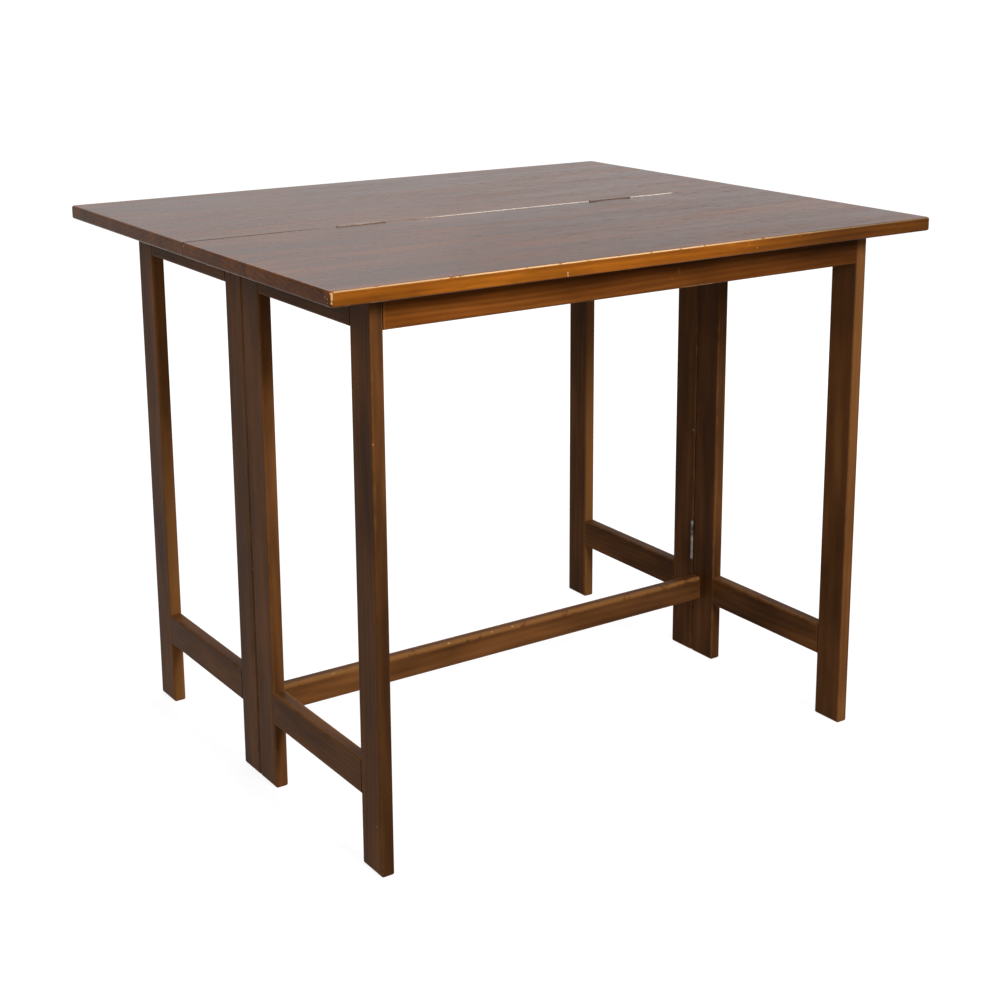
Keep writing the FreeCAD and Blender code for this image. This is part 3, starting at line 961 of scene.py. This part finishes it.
@dataclass
class ScrewGroup:
    """Slotted countersunk screws, set where a CAD group of screws has its heads."""

    node: str
    body: str
    slot: str
    seed: int
    head_mm: float = 2.6
    shank_mm: float = 1.3
    length_mm: float = 16.0
    slot_width_mm: float = 0.7
    slot_depth_mm: float = 0.6
    facets: int = 32
    slot_reach: float = 3.0

    def build(self, finish: Material) -> None:
        """Make the group's screws as one mesh that stands for the CAD node.

        Args:
            finish: The metal of the screws.
        """
        name = self.node.replace("screws", "slotted_screws")
        seats = new_object(f"{name}_seats", self._seats())
        modifier = seats.modifiers.new("screws", "NODES")
        modifier.node_group = self._tree()
        sizes = {"Head Radius": self.head_mm * MM, "Shank Radius": self.shank_mm * MM,
                 "Length": self.length_mm * MM, "Slot Width": self.slot_width_mm * MM,
                 "Slot Depth": self.slot_depth_mm * MM, "Finish": finish, "Seed": self.seed}
        for socket in modifier.node_group.interface.items_tree:
            if socket.name in sizes:
                modifier[socket.identifier] = sizes[socket.name]
        bpy.context.view_layer.update()
        evaluated = seats.evaluated_get(bpy.context.evaluated_depsgraph_get())
        mesh = bpy.data.meshes.new_from_object(evaluated)
        bpy.data.objects.remove(seats)
        piece = new_object(name, mesh)
        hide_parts(self.node)
        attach(piece, self.body)
        log.info("%s: %s", name, finish.name)

    def _seats(self) -> Mesh:
        """Find where each CAD screw's head lies and which way the screw points.

        Returns:
            A mesh with a point at each head, and the screw's direction as its axis.
        """
        shell = joined_shell(self.node)
        places, axes = [], []
        # A dict keeps the mesh's order, so every run turns the screws alike
        waiting = dict.fromkeys(shell.verts)
        while waiting:
            island = self._island(waiting)
            low = Vector([min(v[i] for v in island) for i in range(3)])
            high = Vector([max(v[i] for v in island) for i in range(3)])
            size = high - low
            axis = max(range(3), key=lambda i: size[i])
            middle = (low + high) / 2
            # The rim of the head stands farther out than the point of the shank
            wide = max(island, key=lambda v: (v - middle).length - abs(v[axis] - middle[axis]) / 2)
            head_low = wide[axis] < middle[axis]
            middle[axis] = low[axis] if head_low else high[axis]
            places.append(middle)
            axes.append([(1 if head_low else -1) if i == axis else 0 for i in range(3)])
        shell.free()
        mesh = bpy.data.meshes.new(f"{self.node}_seats")
        mesh.from_pydata(places, [], [])
        attribute = mesh.attributes.new("axis", "FLOAT_VECTOR", "POINT")
        attribute.data.foreach_set("vector", [value for axis in axes for value in axis])
        return mesh

    def _island(self, waiting: dict[bmesh.types.BMVert, None]) -> list[Vector]:
        """Take one joined shell out of the vertices that are waiting.

        Args:
            waiting: The vertices that no shell has yet.

        Returns:
            The places of the shell's vertices.
        """
        stack = [waiting.popitem()[0]]
        found = []
        while stack:
            vertex = stack.pop()
            found.append(vertex.co.copy())
            for edge in vertex.link_edges:
                other = edge.other_vert(vertex)
                if other in waiting:
                    del waiting[other]
                    stack.append(other)
        return found

    def _tree(self) -> NodeTree:
        """Build the nodes that turn a screw, cut its slot and set a copy on every seat.

        Returns:
            The node tree, with a named input for each size.
        """
        tree = bpy.data.node_groups.new("slotted_screws", "GeometryNodeTree")
        new_socket = tree.interface.new_socket
        new_socket("Geometry", in_out="INPUT", socket_type="NodeSocketGeometry")
        for label in ("Head Radius", "Shank Radius", "Length", "Slot Width", "Slot Depth"):
            new_socket(label, in_out="INPUT", socket_type="NodeSocketFloat")
        new_socket("Finish", in_out="INPUT", socket_type="NodeSocketMaterial")
        new_socket("Seed", in_out="INPUT", socket_type="NodeSocketInt")
        new_socket("Geometry", in_out="OUTPUT", socket_type="NodeSocketGeometry")
        add = partial(add_node, tree)
        given = add("NodeGroupInput").outputs
        head, shank, length = given["Head Radius"], given["Shank Radius"], given["Length"]
        depth = add("ShaderNodeMath", {0: head, 1: shank}, operation="SUBTRACT")
        cone = add("GeometryNodeMeshCone", {
            "Vertices": self.facets, "Radius Bottom": head, "Radius Top": shank, "Depth": depth})
        across = add("ShaderNodeMath", {0: head, 1: self.slot_reach}, operation="MULTIPLY")
        # The slot's box is centred on the head's face, so only half of it cuts
        deep = add("ShaderNodeMath", {0: given["Slot Depth"], 1: 2.0}, operation="MULTIPLY")
        slot_size = add("ShaderNodeCombineXYZ", {"X": across, "Y": given["Slot Width"], "Z": deep})
        slot = add("GeometryNodeMeshCube", {"Size": slot_size})
        slotted = add("GeometryNodeMeshBoolean", {"Mesh 1": cone, "Mesh 2": slot},
                      operation="DIFFERENCE", solver="EXACT")
        rest = add("ShaderNodeMath", {0: length, 1: depth}, operation="SUBTRACT")
        stem = add("GeometryNodeMeshCone", {
            "Vertices": self.facets, "Radius Bottom": shank, "Radius Top": 0.0, "Depth": rest})
        lower = add("ShaderNodeCombineXYZ", {"Z": depth})
        seated = add("GeometryNodeTransform", {"Geometry": stem, "Translation": lower})
        screw = add("GeometryNodeJoinGeometry")
        for part in (slotted, seated):
            tree.links.new(part.outputs[0], screw.inputs[0])
        axis = add("GeometryNodeInputNamedAttribute", {"Name": "axis"}, data_type="FLOAT_VECTOR")
        aimed = add("FunctionNodeAlignRotationToVector", {"Vector": axis}, axis="Z")
        spin = add("FunctionNodeRandomValue", {"Seed": given["Seed"]}, data_type="FLOAT")
        angle = add("ShaderNodeMath", {0: spin, 1: math.pi}, operation="MULTIPLY")
        turn = add("FunctionNodeAxisAngleToRotation", {"Axis": (0, 0, 1), "Angle": angle})
        turned = add("FunctionNodeRotateRotation", {"Rotation": aimed, "Rotate By": turn},
                     rotation_space="LOCAL")
        copies = add("GeometryNodeInstanceOnPoints", {
            "Points": given["Geometry"], "Instance": screw, "Rotation": turned})
        real = add("GeometryNodeRealizeInstances", {"Geometry": copies})
        dressed = add("GeometryNodeSetMaterial", {"Geometry": real, "Material": given["Finish"]})
        add("NodeGroupOutput", {"Geometry": dressed})
        return tree


@dataclass(frozen=True)
class Lamp:
    """A square soft light and what it is turned to."""

    name: str
    place: Point
    aim: Point
    size: float
    power: float
    spread_deg: float = 180.0

    def hang(self) -> None:
        """Make the light and put it in its place."""
        light = bpy.data.lights.new(self.name, "AREA")
        light.size = self.size
        light.energy = self.power
        light.spread = math.radians(self.spread_deg)
        hung = new_object(self.name, light)
        hung.location = self.place
        direction = Vector(self.aim) - Vector(self.place)
        hung.rotation_euler = direction.to_track_quat("-Z", "Y").to_euler()


@dataclass
class Studio:
    """A white floor and room, lit softly from the front and weakly from the sides and behind."""

    ambient: float = 0.17
    floor_reach: float = 30.0
    floor_bounce: float = 0.4
    floor_matt: float = 0.24
    floor_glow: Span = (0.87, 1.0)
    fade_span: Span = (0.6, 1.8)
    lamps: tuple[Lamp, ...] = (
        Lamp("key", (-0.15, -1.95, 1.47), (-0.12, -0.4, 0.74), 0.55, 2.2, 60.0),
        Lamp("front_fill", (0.2, -3.8, 2.6), (0.0, 0.0, 0.4), 1.2, 129.0),
        Lamp("left_fill", (-2.0, -0.6, 2.0), (0.0, 0.0, 0.5), 1.4, 17.0),
        Lamp("right_fill", (2.6, 0.5, 1.2), (0.0, 0.0, 0.4), 1.4, 24.0),
        Lamp("rear_fill", (0.5, 2.0, 2.3), (0.0, 0.0, 0.5), 1.5, 25.0),
    )

    def build(self) -> None:
        """Make the room, its lights and the floor."""
        self._world()
        self._floor()
        for lamp in self.lamps:
            lamp.hang()
        bpy.context.scene.view_settings.view_transform = "Standard"

    def _seen(self, add: NodeAdder) -> Node:
        """Tell the rays that show the background: from the camera, in gloss and through glass.

        Args:
            add: The function that adds a node to the tree that asks.

        Returns:
            The node with a factor of 1 for those rays and 0 for others.
        """
        path = add("ShaderNodeLightPath").outputs
        first = add("ShaderNodeMath", {0: path["Is Camera Ray"], 1: path["Is Glossy Ray"]},
                    operation="MAXIMUM")
        return add("ShaderNodeMath", {0: first, 1: path["Is Transmission Ray"]},
                   operation="MAXIMUM")

    def _world(self) -> None:
        """Make a room that is white where it is seen and gives a soft even light elsewhere."""
        world = bpy.data.worlds.new("white_room")
        bpy.context.scene.world = world
        add = node_adder(world)
        strength = add("ShaderNodeMapRange", {"Value": self._seen(add), "To Min": self.ambient})
        room = add("ShaderNodeBackground", {"Color": WHITE, "Strength": strength})
        add("ShaderNodeOutputWorld", {"Surface": room})

    def _floor(self) -> None:
        """Lay a matt white floor that keeps the table's shadow and fades into the room."""
        bpy.ops.mesh.primitive_plane_add(size=2 * self.floor_reach)
        floor = bpy.context.object
        floor.name = "studio_floor"
        paint = bpy.data.materials.new("matt_white_floor")
        add = node_adder(paint)
        seen = self._seen(add)
        place = add("ShaderNodeTexCoord").outputs["Object"]
        far = add("ShaderNodeVectorMath", {0: place}, operation="LENGTH")
        fade = add("ShaderNodeMapRange", {
            "Value": far, "From Min": self.fade_span[0], "From Max": self.fade_span[1],
            "To Min": self.floor_glow[0], "To Max": self.floor_glow[1]},
            interpolation_type="SMOOTHSTEP")
        shown = add("ShaderNodeMath", {0: fade, 1: seen}, operation="MULTIPLY")
        tone = add("ShaderNodeMapRange", {
            "Value": seen, "To Min": self.floor_bounce, "To Max": self.floor_matt})
        matt = add("ShaderNodeBsdfDiffuse", {"Color": tone})
        glow = add("ShaderNodeEmission", {"Color": WHITE, "Strength": shown})
        both = add("ShaderNodeAddShader", {0: matt, 1: glow})
        add("ShaderNodeOutputMaterial", {"Surface": both})
        floor.data.materials.append(paint)


@dataclass
class PhotoCamera:
    """The photograph's viewpoint, found from the table's edges and joints in the picture."""

    place: Point = (-1.3673, -2.0817, 1.1345)
    azimuth_deg: float = -34.9
    elevation_deg: float = 13.38
    lens_mm: float = 62.94
    shift: tuple[float, float] = (-0.04, -0.14)

    def build(self) -> None:
        """Make the camera and give it to the scene."""
        lens = bpy.data.cameras.new("photo_camera")
        lens.lens = self.lens_mm
        lens.shift_x, lens.shift_y = self.shift
        camera = new_object("photo_camera", lens)
        camera.location = self.place
        tilt, turn = math.radians(90 - self.elevation_deg), math.radians(self.azimuth_deg)
        camera.rotation_euler = (tilt, 0, turn)
        bpy.context.scene.camera = camera


def main() -> None:
    """Build the table's looks piece by piece, then the studio round it."""
    logging.basicConfig(level=logging.INFO, format="%(message)s")
    TableTop().build()
    FixedFrame().build()
    for gate in (LEFT_GATE, RIGHT_GATE):
        gate.build()
    Hinges().build()
    cleat_screws = ScrewGroup("cleat_screws", "frame", "screw_steel", 9,
                              head_mm=4.0, shank_mm=2.0, length_mm=30.0)
    cleat_screws.build(SCREW_STEEL.material())
    Studio().build()
    PhotoCamera().build()


if __name__ == "__main__":
    main()
